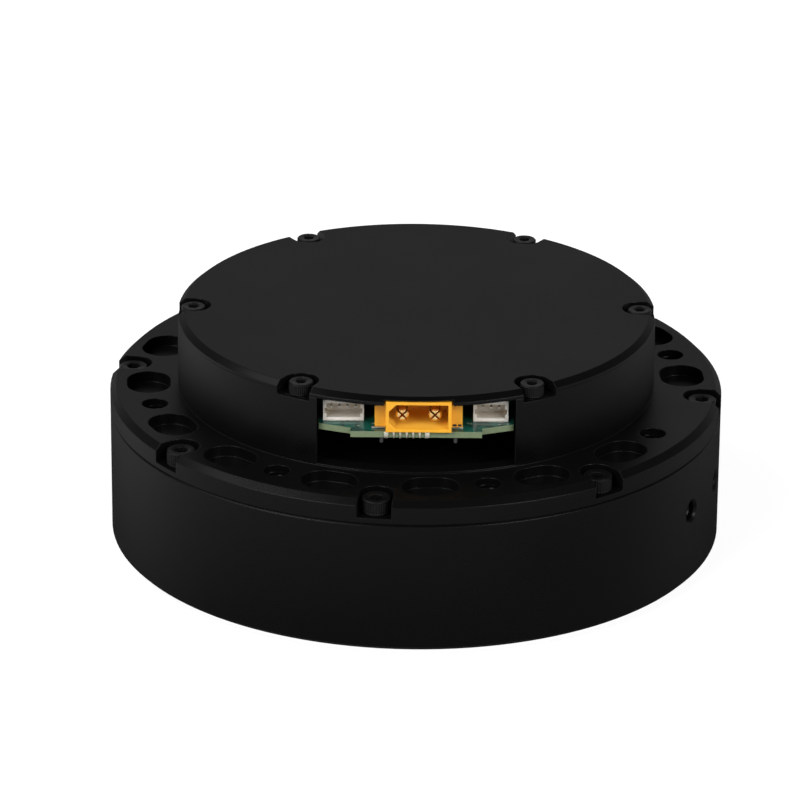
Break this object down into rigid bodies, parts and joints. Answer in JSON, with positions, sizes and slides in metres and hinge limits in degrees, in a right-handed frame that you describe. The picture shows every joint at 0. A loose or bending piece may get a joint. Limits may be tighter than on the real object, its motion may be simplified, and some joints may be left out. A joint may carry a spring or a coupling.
{
  "type": "robot joint actuator",
  "caption": "Low round joint actuator: outrunner motor around a planetary reduction, bolted rear flange, and a capped drum with a board and connectors in a side window.",
  "frame": {"origin": "centre of the output face, the lowest plane of the part", "axes": "+Z along the joint axis towards the rear cover; -Y towards the connector window; +X to the right seen from the connectors"},
  "size_m": [0.098, 0.098, 0.0386],
  "materials": {
    "black_anodised": "black anodised, fine satin",
    "black_steel": "black oxide",
    "steel": "machined",
    "spring_steel": "phosphated",
    "bearing_steel": "ground",
    "board": "solder mask over glass fibre",
    "socket_plastic": "moulded nylon",
    "ivory_plastic": "moulded nylon",
    "chip_plastic": "moulded epoxy",
    "capacitor_can": "satin can",
    "gold": "gold plated",
    "tin": "tin plated",
    "lamination": "varnished lamination stack",
    "copper": "enamelled copper",
    "rubber": "moulded seal",
    "bronze": "sintered bronze",
    "magnet": "nickel plated"
  },
  "bodies": {
    "housing": {"main_housing": "black_anodised", "rear_housing": "black_anodised", "rear_cover": "black_anodised", "housing_dowels": "steel", "flange_screws": "black_steel", "cover_screws": "black_steel", "control_board": "board", "board_screws": "steel", "power_socket": "socket_plastic", "power_pins": "gold", "power_pegs": "tin", "edge_pads": "tin", "data_socket_left": "ivory_plastic", "data_socket_right": "ivory_plastic", "data_contacts": "tin", "power_transistors": "chip_plastic", "bus_capacitors": "capacitor_can", "motor_controller": "chip_plastic", "encoder_chip": "chip_plastic", "stator_core": "lamination", "stator_windings": "copper", "phase_leads": "copper", "ring_gear": "steel", "output_bearing_outer": "bearing_steel", "bearing_retainer": "black_anodised", "retainer_screws": "black_steel", "output_seal": "rubber", "rear_bearing_outer": "bearing_steel"},
    "output": {"output_flange": "black_anodised", "carrier_plate": "steel", "carrier_screws": "black_steel", "planet_pins": "steel", "pilot_bush": "bronze", "output_circlip": "spring_steel", "output_bearing_inner": "bearing_steel"},
    "rotor": {"rotor_bell": "black_anodised", "rotor_ring": "steel", "rotor_magnets": "magnet", "sun_gear": "steel", "rear_bearing_inner": "bearing_steel", "encoder_magnet": "magnet"},
    "rollers": {"output_bearing_rollers": "bearing_steel"},
    "planet_1": {"planet_gear_1": "steel", "planet_bush_1": "bronze"},
    "planet_2": {"planet_gear_2": "steel", "planet_bush_2": "bronze"},
    "planet_3": {"planet_gear_3": "steel", "planet_bush_3": "bronze"}
  },
  "joints": [
    {"name": "output_spin", "type": "hinge", "parent": "housing", "child": "output", "pos_m": [0, 0, 0], "axis": [0, 0, 1], "continuous": true},
    {"name": "rotor_spin", "type": "hinge", "parent": "housing", "child": "rotor", "pos_m": [0, 0, 0], "axis": [0, 0, 1], "continuous": true},
    {"name": "roller_orbit", "type": "hinge", "parent": "housing", "child": "rollers", "pos_m": [0, 0, 0], "axis": [0, 0, 1], "continuous": true},
    {"name": "planet_1_spin", "type": "hinge", "parent": "output", "child": "planet_1", "pos_m": [0, -0.0135, 0], "axis": [0, 0, 1], "continuous": true},
    {"name": "planet_2_spin", "type": "hinge", "parent": "output", "child": "planet_2", "pos_m": [0.01169, 0.00675, 0], "axis": [0, 0, 1], "continuous": true},
    {"name": "planet_3_spin", "type": "hinge", "parent": "output", "child": "planet_3", "pos_m": [-0.01169, 0.00675, 0], "axis": [0, 0, 1], "continuous": true}
  ],
  "couplings": [
    {"joint": "rotor_spin", "follows": "output_spin", "ratio": 9},
    {"joint": "roller_orbit", "follows": "output_spin", "ratio": 0.4777},
    {"joint": "planet_1_spin", "follows": "output_spin", "ratio": -2.2857},
    {"joint": "planet_2_spin", "follows": "output_spin", "ratio": -2.2857},
    {"joint": "planet_3_spin", "follows": "output_spin", "ratio": -2.2857}
  ]
}
